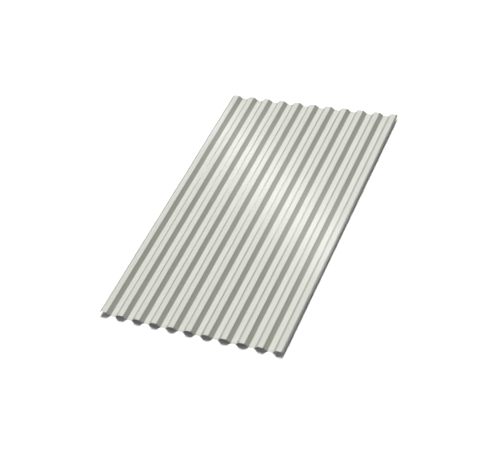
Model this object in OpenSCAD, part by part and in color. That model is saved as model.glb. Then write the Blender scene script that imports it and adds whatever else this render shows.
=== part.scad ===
// Profiled metal sheet: one strip of coated steel, roll-formed into flat-topped waves
// and cut square at both ends. Lengths are in millimetres.
// The sheet lies flat with its valleys on z = 0, its waves run along Y,
// and the origin is under the middle of the sheet.

/* [Strip] */
// Cut length of the sheet, along the waves
sheet_length = 1720; // [500:10:6000]
// Thickness of the coated steel strip
strip_thickness = 0.5; // [0.4:0.05:1.2]
// Colour of the coating
coating_colour = "#dddfd4"; // [#dddfd4:Grey white, #cbd0cc:Light grey, #8a9597:Mid grey]

/* [Waves] */
// Number of crests across the sheet
crest_count = 11; // [2:1:14]
// Distance from the middle of one crest to the middle of the next
wave_pitch = 100; // [80:1:160]
// Overall height, from the underside of the valleys to the top of the crests
profile_height = 21; // [8:0.5:40]
// Width of a crest's flat top, from bend line to bend line
crest_width = 30; // [16:1:44]
// Sideways run of each sloping web; a valley takes what the crest and its webs leave of the pitch
web_run = 20; // [10:1:28]

/* [Bends] */
// Inside radius of every bend
bend_radius = 2.5; // [0.5:0.1:4]
// Flat steps that make up the curve of one bend
bend_steps = 5; // [2:1:12]

/* [Long edges] */
// Sideways run of the covering lip, which flares out from the left outer crest and laps over the next sheet
cover_lip_run = 10.5; // [4:0.5:18]
// How far the covering lip comes down from its crest
cover_lip_drop = 4.5; // [1:0.5:7]
// Sideways run of the under lip, the start of a web on the right outer crest, which goes under the next sheet
under_lip_run = 7.5; // [4:0.5:9]

/* [Hidden] */

// Heights of the middle of the strip in a valley and on a crest
valley_mid_z = strip_thickness / 2;
crest_mid_z = profile_height - strip_thickness / 2;

// Slopes of the webs and the covering lip, and the radius that the middle of the strip follows in a bend
web_angle = atan2(crest_mid_z - valley_mid_z, web_run);
cover_lip_angle = atan2(cover_lip_drop, cover_lip_run);
bend_mid_radius = bend_radius + strip_thickness / 2;

// The under lip keeps the webs' slope
under_lip_drop = under_lip_run * tan(web_angle);

// The two lips differ, so the waves lie a little to one side of the sheet's middle
waves_shift = (cover_lip_run - under_lip_run) / 2;

// Unit vector that points out of the upper face of a strip with this heading
function upward(heading) = [-sin(heading), cos(heading)];

function crest_x(crest) = (crest - (crest_count - 1) / 2) * wave_pitch + waves_shift;

function reversed(points) = [for (i = [len(points) - 1 : -1 : 0]) points[i]];

// Arc of one bend, on the face that lies `offset` above the middle of the strip.
// The straight stretches before and after the bend would meet at `corner`.
function bend(corner, heading_in, heading_out, offset) =
    let (
        turn = heading_out - heading_in,
        radius = sign(turn) * bend_mid_radius,
        centre = corner + radius / cos(turn / 2) * upward((heading_in + heading_out) / 2)
    )
    [
        for (step = [0 : bend_steps])
            centre - (radius - offset) * upward(heading_in + turn * step / bend_steps)
    ];

// Cut ends of the two lips
function cover_lip_end(offset) =
    [crest_x(0) - crest_width / 2 - cover_lip_run, crest_mid_z - cover_lip_drop]
    + offset * upward(cover_lip_angle);

function under_lip_end(offset) =
    [crest_x(crest_count - 1) + crest_width / 2 + under_lip_run, crest_mid_z - under_lip_drop]
    + offset * upward(-web_angle);

// One face of the section, from the covering lip to the under lip
function face(offset) =
    let (crest_half = crest_width / 2)
    [
        cover_lip_end(offset),
        for (crest = [0 : crest_count - 1])
            let (
                x = crest_x(crest),
                is_first = crest == 0,
                is_last = crest == crest_count - 1,
                left_angle = is_first ? cover_lip_angle : web_angle,
                rise = bend([x - crest_half - web_run, valley_mid_z], 0, web_angle, offset),
                left = bend([x - crest_half, crest_mid_z], left_angle, 0, offset),
                right = bend([x + crest_half, crest_mid_z], 0, -web_angle, offset),
                foot = bend([x + crest_half + web_run, valley_mid_z], -web_angle, 0, offset)
            )
            each concat(is_first ? [] : rise, left, right, is_last ? [] : foot),
        under_lip_end(offset)
    ];

// The strip's section, of even thickness from edge to edge
module section() {
    upper = face(strip_thickness / 2);
    lower = face(-strip_thickness / 2);
    polygon(concat(upper, reversed(lower)));
}

module profiled_sheet() {
    color(coating_colour)
        rotate([90, 0, 0])
            linear_extrude(height = sheet_length, center = true)
                section();
}

profiled_sheet();
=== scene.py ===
import math

import bpy
import numpy as np
from mathutils import Matrix, Quaternion, Vector


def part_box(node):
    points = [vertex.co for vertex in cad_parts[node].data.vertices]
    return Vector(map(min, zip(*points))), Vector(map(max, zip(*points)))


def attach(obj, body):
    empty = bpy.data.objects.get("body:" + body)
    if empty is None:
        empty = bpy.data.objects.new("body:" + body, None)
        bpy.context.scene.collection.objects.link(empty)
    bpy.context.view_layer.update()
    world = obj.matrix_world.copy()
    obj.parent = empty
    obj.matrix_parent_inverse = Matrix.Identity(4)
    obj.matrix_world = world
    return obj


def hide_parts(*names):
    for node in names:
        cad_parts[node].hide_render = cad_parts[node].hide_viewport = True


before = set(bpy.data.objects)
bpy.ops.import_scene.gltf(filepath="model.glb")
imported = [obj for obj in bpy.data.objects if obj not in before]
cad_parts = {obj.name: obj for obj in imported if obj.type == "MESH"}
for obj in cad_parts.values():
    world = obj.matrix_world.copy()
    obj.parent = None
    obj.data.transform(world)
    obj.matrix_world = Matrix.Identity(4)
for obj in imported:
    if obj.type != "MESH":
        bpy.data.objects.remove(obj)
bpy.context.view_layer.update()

# Profiled sheet
# One strip of zinc-coated steel, painted in the coil and then roll-formed cold into eleven flat-topped
# waves. A shear cuts it square at both ends. The left edge flares out in a covering lip, and the right
# edge ends in the start of a web, which goes under the next sheet.
MM = 0.001
CREST_COUNT = 11
WAVE_PITCH = 100 * MM
CREST_WIDTH = 30 * MM
WEB_RUN = 20 * MM
STRIP_THICKNESS = 0.5 * MM
BEND_RADIUS = 2.5 * MM
BEND_STEPS = 6
COVER_LIP_RUN = 10.5 * MM
COVER_LIP_DROP = 4.5 * MM
UNDER_LIP_RUN = 7.5 * MM

sheet_low, sheet_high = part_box("profiled_sheet")
sheet_length = sheet_high.y - sheet_low.y
crest_z = sheet_high.z - STRIP_THICKNESS / 2
valley_z = sheet_low.z + STRIP_THICKNESS / 2
web_angle = math.atan2(crest_z - valley_z, WEB_RUN)
cover_lip_angle = math.atan2(COVER_LIP_DROP, COVER_LIP_RUN)
under_lip_drop = UNDER_LIP_RUN * math.tan(web_angle)
waves_shift = (COVER_LIP_RUN - UNDER_LIP_RUN) / 2


def upward(heading):
    """Direction, as x and z, out of the painted face of a strip that runs with this slope."""
    return np.array((-np.sin(heading), np.cos(heading)))


def bend(x, z, heading_in, heading_out):
    """One bend of the strip's middle, round the corner at x, z: points with their slopes."""
    turn = heading_out - heading_in
    radius = math.copysign(BEND_RADIUS + STRIP_THICKNESS / 2, turn)
    centre = np.array((x, z)) + radius / math.cos(turn / 2) * upward((heading_in + heading_out) / 2)
    headings = np.linspace(heading_in, heading_out, BEND_STEPS + 1)
    return [(*(centre - radius * upward(heading)), heading) for heading in headings]


first_crest_x = waves_shift - (CREST_COUNT - 1) / 2 * WAVE_PITCH
strip = [(first_crest_x - CREST_WIDTH / 2 - COVER_LIP_RUN, crest_z - COVER_LIP_DROP, cover_lip_angle)]
for crest in range(CREST_COUNT):
    left = first_crest_x + crest * WAVE_PITCH - CREST_WIDTH / 2
    right = left + CREST_WIDTH
    is_first = crest == 0
    is_last = crest == CREST_COUNT - 1
    if not is_first:
        strip += bend(left - WEB_RUN, valley_z, 0, web_angle)
    strip += bend(left, crest_z, cover_lip_angle if is_first else web_angle, 0)
    strip += bend(right, crest_z, 0, -web_angle)
    if not is_last:
        strip += bend(right + WEB_RUN, valley_z, -web_angle, 0)
strip.append((right + UNDER_LIP_RUN, crest_z - under_lip_drop, -web_angle))

# The straight stretches get points of their own: two close to the bends, which keep the shading of the
# flats even, and three between, where the thin steel bows a few hundredths of a millimetre. Each point
# holds its x, z and slope, its share of the bow, the start of the bow's waves, and 1 if in a bend.
BEND_MARGIN = 0.6 * MM
BOW_SHARES = (0.25, 0.5, 0.75)
BOW_HEIGHT = 0.03 * MM
SHORT_BOW = 430 * MM
LONG_BOW = 819 * MM
BOW_TURN = 2.4  # radians from the waves of one flat to those of the next

section = []
flat_number = 0
for (x0, z0, heading), (x1, z1, next_heading) in zip(strip, strip[1:]):
    section.append((x0, z0, heading, 0, 0, 1))
    if not math.isclose(heading, next_heading):
        continue
    flat_number += 1
    margin = BEND_MARGIN / math.hypot(x1 - x0, z1 - z0)
    for share in (margin, *BOW_SHARES, 1 - margin):
        x = x0 + share * (x1 - x0)
        z = z0 + share * (z1 - z0)
        bow = math.sin(math.pi * share) ** 2
        section.append((x, z, heading, bow, flat_number * BOW_TURN, 0))
section.append((*strip[-1], 0, 0, 1))

# The section runs along the sheet in rows, once for the painted face and once for the back.
ROW_SPACING = 30 * MM
SHARP_ANGLE = math.radians(40)

middle_x, middle_z, headings, bows, turns, in_bend = np.array(section).T
out_x, out_z = upward(headings)
point_count = len(section)
row_count = round(sheet_length / ROW_SPACING) + 1
rows_y = np.linspace(sheet_low.y, sheet_high.y, row_count)


def face_points(offset):
    """Points of the face that lies this far above the strip's middle, row by row along the sheet."""
    y = np.repeat(rows_y[:, None], point_count, axis=1)
    wave = np.sin(2 * math.pi * y / SHORT_BOW + turns) + np.sin(2 * math.pi * y / LONG_BOW - turns)
    out = offset + BOW_HEIGHT * bows * wave
    return np.stack((middle_x + out * out_x, y, middle_z + out * out_z), axis=-1).reshape(-1, 3)


def grid_faces(ids):
    """Quads between the neighbouring rows and columns of a grid of points."""
    quads = np.stack((ids[:-1, :-1], ids[:-1, 1:], ids[1:, 1:], ids[1:, :-1]), axis=-1)
    return quads.reshape(-1, 4)


upper_points = face_points(STRIP_THICKNESS / 2)
lower_points = face_points(-STRIP_THICKNESS / 2)
upper = np.arange(row_count * point_count).reshape(row_count, point_count)
lower = upper + upper.size

painted_faces = grid_faces(upper)
back_faces = grid_faces(lower)[:, ::-1]
near_end = np.stack((lower[0], upper[0]))
far_end = np.stack((upper[-1], lower[-1]))
left_edge = np.stack((upper[:, 0], lower[:, 0]))
right_edge = np.stack((lower[:, -1], upper[:, -1]))
cut_faces = np.concatenate([grid_faces(ids) for ids in (near_end, far_end, left_edge, right_edge)])

sheet_mesh = bpy.data.meshes.new("coated_sheet")
sheet_mesh.from_pydata(
    np.concatenate((upper_points, lower_points)).tolist(),
    [],
    np.concatenate((painted_faces, back_faces, cut_faces)).tolist(),
)
finish_of_face = np.repeat((0, 1, 2), (len(painted_faces), len(back_faces), len(cut_faces)))
sheet_mesh.polygons.foreach_set("material_index", finish_of_face.astype(np.int32))
bend_marks = sheet_mesh.attributes.new("bend", "FLOAT", "POINT")
bend_marks.data.foreach_set("value", np.tile(in_bend, 2 * row_count).astype(np.float32))
sheet_mesh.shade_smooth()
sheet_mesh.set_sharp_from_angle(angle=SHARP_ANGLE)
sheet_mesh.update()


def put_in_scene(name, data):
    """Adds an object that shows this mesh, camera or light."""
    thing = bpy.data.objects.new(name, data)
    bpy.context.scene.collection.objects.link(thing)
    return thing


coated_sheet = put_in_scene("coated_sheet", sheet_mesh)


def linear(hex_colour):
    """Linear RGBA of an sRGB hex colour."""
    channels = [int(hex_colour[i:i + 2], 16) / 255 for i in (1, 3, 5)]
    return [c / 12.92 if c <= 0.04045 else ((c + 0.055) / 1.055) ** 2.4 for c in channels] + [1]


def bare_tree(owner):
    """Node tree of this material or world, with no node in it yet."""
    owner.use_nodes = True
    owner.node_tree.nodes.clear()
    return owner.node_tree


def add_node(tree, kind, inputs, **settings):
    """Adds a node, links or sets its inputs, and returns its outputs by name."""
    node = tree.nodes.new(kind)
    for name, value in settings.items():
        setattr(node, name, value)
    named = {socket.name: socket for socket in node.inputs if socket.enabled}
    for name, value in inputs.items():
        socket = node.inputs[name] if isinstance(name, int) else named[name]
        if isinstance(value, bpy.types.NodeSocket):
            tree.links.new(value, socket)
        else:
            socket.default_value = value
    return {socket.name: socket for socket in node.outputs if socket.enabled}


# Polyester coil paint: a grey-white coat a few hundredths of a millimetre thick, rolled on and baked.
# It gives an even satin face with faint streaks along the strip, a fine orange peel in the gloss, and
# bends that the forming rolls have polished a little.
PAINT = "#d9dbce"
PAINT_STREAK = "#d5d7ca"
STREAK_WIDTH = 9 * MM
STREAK_LENGTH = 700 * MM
STREAK_LOW = 0.3  # nearly all of the noise lies between these two
STREAK_HIGH = 0.7
GLOSSY_STREAK_ROUGHNESS = 0.16
DULL_STREAK_ROUGHNESS = 0.19
BEND_POLISH = -0.04
ORANGE_PEEL = 6 * MM  # the real 2 mm cells are too fine for the picture
PEEL_DEPTH = 0.004 * MM
RESIN_IOR = 1.5

paint = bpy.data.materials.new("polyester_coil_paint")
tree = bare_tree(paint)
place = add_node(tree, "ShaderNodeTexCoord", {})["Object"]
along = add_node(tree, "ShaderNodeMapping", {
    "Vector": place, "Scale": (1 / STREAK_WIDTH, 1 / STREAK_LENGTH, 1 / STREAK_WIDTH)})
streaks = add_node(tree, "ShaderNodeTexNoise", {"Vector": along["Vector"], "Scale": 1, "Detail": 3})
tone = add_node(tree, "ShaderNodeMix", {
    "Factor": streaks["Fac"], "A": linear(PAINT_STREAK), "B": linear(PAINT)}, data_type="RGBA")
peel = add_node(tree, "ShaderNodeTexNoise", {"Vector": place, "Scale": 1 / ORANGE_PEEL, "Detail": 1})
peel_bump = add_node(tree, "ShaderNodeBump", {
    "Height": peel["Fac"], "Distance": PEEL_DEPTH, "Strength": 1})
satin = add_node(tree, "ShaderNodeMapRange", {
    "Value": streaks["Fac"], "From Min": STREAK_LOW, "From Max": STREAK_HIGH,
    "To Min": GLOSSY_STREAK_ROUGHNESS, "To Max": DULL_STREAK_ROUGHNESS})
bends = add_node(tree, "ShaderNodeAttribute", {}, attribute_name="bend")
polished = add_node(tree, "ShaderNodeMath", {
    0: bends["Fac"], 1: BEND_POLISH, 2: satin["Result"]}, operation="MULTIPLY_ADD")
coat = add_node(tree, "ShaderNodeBsdfPrincipled", {
    "Base Color": tone["Result"], "Roughness": polished["Value"],
    "Normal": peel_bump["Normal"], "IOR": RESIN_IOR})
add_node(tree, "ShaderNodeOutputMaterial", {"Surface": coat["BSDF"]})

# Epoxy back coat: a thinner grey wash over the zinc of the underside. It is duller than the face, and
# the zinc's crystals show through it as a faint mottle.
BACK_COAT = "#b4b8b6"
BACK_COAT_THIN = "#a6abab"
BACK_COAT_ROUGHNESS = 0.48
BACK_COAT_THIN_ROUGHNESS = 0.4
SPANGLE = 12 * MM
MOTTLE = 60 * MM
MOTTLE_SHARE = 0.5

back_coat = bpy.data.materials.new("epoxy_back_coat")
tree = bare_tree(back_coat)
place = add_node(tree, "ShaderNodeTexCoord", {})["Object"]
spangle = add_node(tree, "ShaderNodeTexVoronoi", {"Vector": place, "Scale": 1 / SPANGLE})
mottle = add_node(tree, "ShaderNodeTexNoise", {"Vector": place, "Scale": 1 / MOTTLE, "Detail": 4})
thin = add_node(tree, "ShaderNodeMix", {
    "Factor": MOTTLE_SHARE, "A": spangle["Color"], "B": mottle["Color"]}, data_type="RGBA")
thinness = add_node(tree, "ShaderNodeSeparateColor", {"Color": thin["Result"]})["Red"]
wash = add_node(tree, "ShaderNodeMix", {
    "Factor": thinness, "A": linear(BACK_COAT), "B": linear(BACK_COAT_THIN)}, data_type="RGBA")
dull = add_node(tree, "ShaderNodeMapRange", {
    "Value": thinness, "To Min": BACK_COAT_ROUGHNESS, "To Max": BACK_COAT_THIN_ROUGHNESS})
coat = add_node(tree, "ShaderNodeBsdfPrincipled", {
    "Base Color": wash["Result"], "Roughness": dull["Result"], "IOR": RESIN_IOR})
add_node(tree, "ShaderNodeOutputMaterial", {"Surface": coat["BSDF"]})

# Sheared steel: the bare cut edge, half a millimetre high. The blade leaves a bright upper part and a
# rough torn lower part, seen as fine upright scoring with a dull metal shine.
CUT_STEEL = "#a8aaab"
CUT_STEEL_TORN = "#85878a"
CUT_ROUGHNESS = 0.35
TORN_ROUGHNESS = 0.6
SCORING = 1.2 * MM  # the real 0.2 mm scores are too fine for the picture

cut_steel = bpy.data.materials.new("sheared_steel")
tree = bare_tree(cut_steel)
place = add_node(tree, "ShaderNodeTexCoord", {})["Object"]
scoring = add_node(tree, "ShaderNodeTexNoise", {"Vector": place, "Scale": 1 / SCORING, "Detail": 2})
cut_tone = add_node(tree, "ShaderNodeMix", {
    "Factor": scoring["Fac"], "A": linear(CUT_STEEL), "B": linear(CUT_STEEL_TORN)}, data_type="RGBA")
torn = add_node(tree, "ShaderNodeMapRange", {
    "Value": scoring["Fac"], "To Min": CUT_ROUGHNESS, "To Max": TORN_ROUGHNESS})
edge = add_node(tree, "ShaderNodeBsdfPrincipled", {
    "Base Color": cut_tone["Result"], "Roughness": torn["Result"], "Metallic": 1})
add_node(tree, "ShaderNodeOutputMaterial", {"Surface": edge["BSDF"]})

for finish in (paint, back_coat, cut_steel):
    sheet_mesh.materials.append(finish)
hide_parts("profiled_sheet")
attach(coated_sheet, "root")

# Camera
# It looks down on the sheet from the front right, turned so that the near end runs down to the right.
CAMERA_PLACE = Vector((2.5315, -3.532, 4.216))
CAMERA_AIM = Vector((0.0091, -0.1029, 0))
CAMERA_ROLL = math.radians(-17.45)
LENS = 80.2  # in millimetres, as the sensor's width
SENSOR_WIDTH = 36

camera_data = bpy.data.cameras.new("camera")
camera_data.sensor_fit = "HORIZONTAL"
camera_data.sensor_width = SENSOR_WIDTH
camera_data.lens = LENS
camera = put_in_scene("camera", camera_data)
camera.location = CAMERA_PLACE
camera.rotation_mode = "QUATERNION"
looking = (CAMERA_AIM - CAMERA_PLACE).to_track_quat("-Z", "Y")
camera.rotation_quaternion = looking @ Quaternion((0, 0, 1), CAMERA_ROLL)
bpy.context.scene.camera = camera

# Floor
# A plain matt white floor just under the valleys. The camera and the gloss see it lifted to white, and
# it keeps the sheet's shadow.
FLOOR_SIZE = 60
FLOOR_GAP = 0.2 * MM
FLOOR_WHITE = "#e6e6e6"
FLOOR_LIFT = 2.75

half = FLOOR_SIZE / 2
floor_z = sheet_low.z - FLOOR_GAP
floor_mesh = bpy.data.meshes.new("floor")
floor_mesh.from_pydata(
    [(-half, -half, floor_z), (half, -half, floor_z), (half, half, floor_z), (-half, half, floor_z)],
    [],
    [(0, 1, 2, 3)],
)
floor = put_in_scene("floor", floor_mesh)


def white_rays(tree):
    """1 for the rays of camera, gloss and glass, which see the studio white, and 0 for all others."""
    rays = add_node(tree, "ShaderNodeLightPath", {})
    seen = rays["Is Camera Ray"]
    for kind in ("Is Glossy Ray", "Is Transmission Ray"):
        seen = add_node(tree, "ShaderNodeMath", {0: seen, 1: rays[kind]}, operation="MAXIMUM")["Value"]
    return seen


floor_white = bpy.data.materials.new("white_floor_paint")
tree = bare_tree(floor_white)
lift = add_node(tree, "ShaderNodeMapRange", {
    "Value": white_rays(tree), "To Min": 1, "To Max": FLOOR_LIFT})
lifted = add_node(tree, "ShaderNodeVectorMath", {
    0: linear(FLOOR_WHITE)[:3], "Scale": lift["Result"]}, operation="SCALE")
matt = add_node(tree, "ShaderNodeBsdfDiffuse", {"Color": lifted["Vector"]})
add_node(tree, "ShaderNodeOutputMaterial", {"Surface": matt["BSDF"]})
floor_mesh.materials.append(floor_white)

# Studio light
# One far softbox behind the sheet lights it and stays out of its shine. Two round cards and three long
# strips show only in the shine: the flats mirror the cards, and the flats, the right webs and the left
# webs mirror one strip each, which together make one slanting band.
KEY_ANGLE = math.radians(30)
KEY_LEVEL = 2.28
KEY_DIRECTION = Vector((-0.38, 1.05, 1))
CARD_ANGLE = math.radians(40)
BACK_CARD_LEVEL = 2
BACK_CARD_DIRECTION = Vector((-0.32, 0.44, 0.85))
TOP_CARD_LEVEL = 1.6
level_up = Vector((0, 0, 1))


def add_softbox(name, towards, angle, level):
    """A round softbox far off in this direction, as wide as this angle seen from the sheet."""
    light = bpy.data.lights.new(name, "SUN")
    light.angle = angle
    light.energy = level
    lamp = put_in_scene(name, light)
    lamp.rotation_euler = towards.to_track_quat("Z", "Y").to_euler()
    return lamp


key = add_softbox("key_softbox", KEY_DIRECTION, KEY_ANGLE, KEY_LEVEL)
key.visible_glossy = False
for name, towards, level in (
    ("back_card", BACK_CARD_DIRECTION, BACK_CARD_LEVEL),
    ("top_card", level_up, TOP_CARD_LEVEL),
):
    card = add_softbox(name, towards, CARD_ANGLE, level)
    card.visible_diffuse = False

# The band runs between two points on the floor, the near one past the sheet's right edge. Each strip
# lies where the camera's look goes from there, once the faces that mirror it have turned it.
BAND_FAR = Vector((-0.56, 0.651, 0))
BAND_NEAR = Vector((1.0, -0.56, 0))
FAR_DISTANCE = 6.0
NEAR_DISTANCE = 4.0
STRIP_WIDTH = 0.23
FLAT_STRIP_RADIANCE = 7
RIGHT_WEB_STRIP_RADIANCE = 7.8
LEFT_WEB_STRIP_RADIANCE = 28
right_web_up = Vector((math.sin(web_angle), 0, math.cos(web_angle)))
left_web_up = Vector((-math.sin(web_angle), 0, math.cos(web_angle)))


def add_strip(name, end_a, end_b, aim, radiance):
    """A long rectangle of light from one point to another, which faces `aim`."""
    light = bpy.data.lights.new(name, "AREA")
    light.shape = "RECTANGLE"
    light.size = (end_b - end_a).length
    light.size_y = STRIP_WIDTH
    light.energy = math.pi * light.size * light.size_y * radiance
    middle = (end_a + end_b) / 2
    side = (end_b - end_a).normalized()
    back = middle - aim
    back = (back - back.dot(side) * side).normalized()
    axes = Matrix((side, back.cross(side), back)).transposed()
    lamp = put_in_scene(name, light)
    lamp.matrix_world = Matrix.Translation(middle) @ axes.to_4x4()
    lamp.visible_camera = False
    lamp.visible_diffuse = False


def mirrored(point, *normals):
    """Direction of the camera's look at this point after these faces have mirrored it in turn."""
    look = (point - CAMERA_PLACE).normalized()
    for normal in normals:
        look = look.reflect(normal)
    return look


for name, normals, radiance in (
    ("flat_strip", [level_up], FLAT_STRIP_RADIANCE),
    ("right_web_strip", [right_web_up], RIGHT_WEB_STRIP_RADIANCE),
    ("left_web_strip", [left_web_up, level_up], LEFT_WEB_STRIP_RADIANCE),
):
    strip_far = BAND_FAR + FAR_DISTANCE * mirrored(BAND_FAR, *normals)
    strip_near = BAND_NEAR + NEAR_DISTANCE * mirrored(BAND_NEAR, *normals)
    add_strip(name, strip_far, strip_near, (BAND_FAR + BAND_NEAR) / 2, radiance)

# White studio walls all round give the sheet a low fill. The camera and the gloss see them white.
FILL = 0.075

world = bpy.data.worlds.new("studio")
bpy.context.scene.world = world
tree = bare_tree(world)
strength = add_node(tree, "ShaderNodeMapRange", {
    "Value": white_rays(tree), "To Min": FILL, "To Max": 1})
walls = add_node(tree, "ShaderNodeBackground", {"Color": (1, 1, 1, 1), "Strength": strength["Result"]})
add_node(tree, "ShaderNodeOutputWorld", {"Surface": walls["Background"]})

bpy.context.scene.view_settings.view_transform = "Standard"
